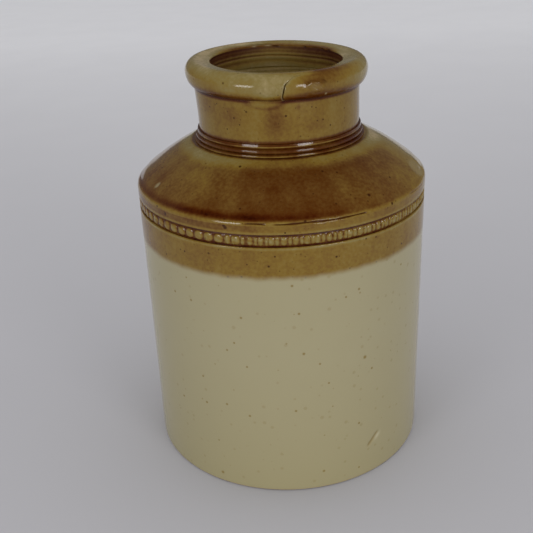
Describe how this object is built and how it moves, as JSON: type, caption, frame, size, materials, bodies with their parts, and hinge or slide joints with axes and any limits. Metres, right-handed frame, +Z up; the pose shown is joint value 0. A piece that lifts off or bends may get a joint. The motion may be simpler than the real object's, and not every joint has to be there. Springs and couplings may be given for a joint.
{
  "type": "stoneware jar",
  "caption": "Two-tone stoneware storage jar with a straight wall, beaded band, domed shoulder, moulded neck and thick rolled rim round an open mouth.",
  "frame": {"origin": "centre of the base, on the surface that the jar stands on", "axes": "+Z up along the jar's turning axis; -Y is the side that faces the camera"},
  "size_m": [0.1522, 0.1522, 0.2142],
  "materials": {
    "cream_glaze": "glossy cream glaze with iron specks over grey stoneware, bare on the underside",
    "brown_glaze": "glossy ochre-brown slip glaze that breaks paler on edges and pools darker in grooves"
  },
  "bodies": {
    "root": {"body": "cream_glaze", "bead_band": "brown_glaze", "shoulder": "brown_glaze", "neck_cordon": "brown_glaze", "neck": "brown_glaze", "rim": "brown_glaze"}
  },
  "joints": []
}
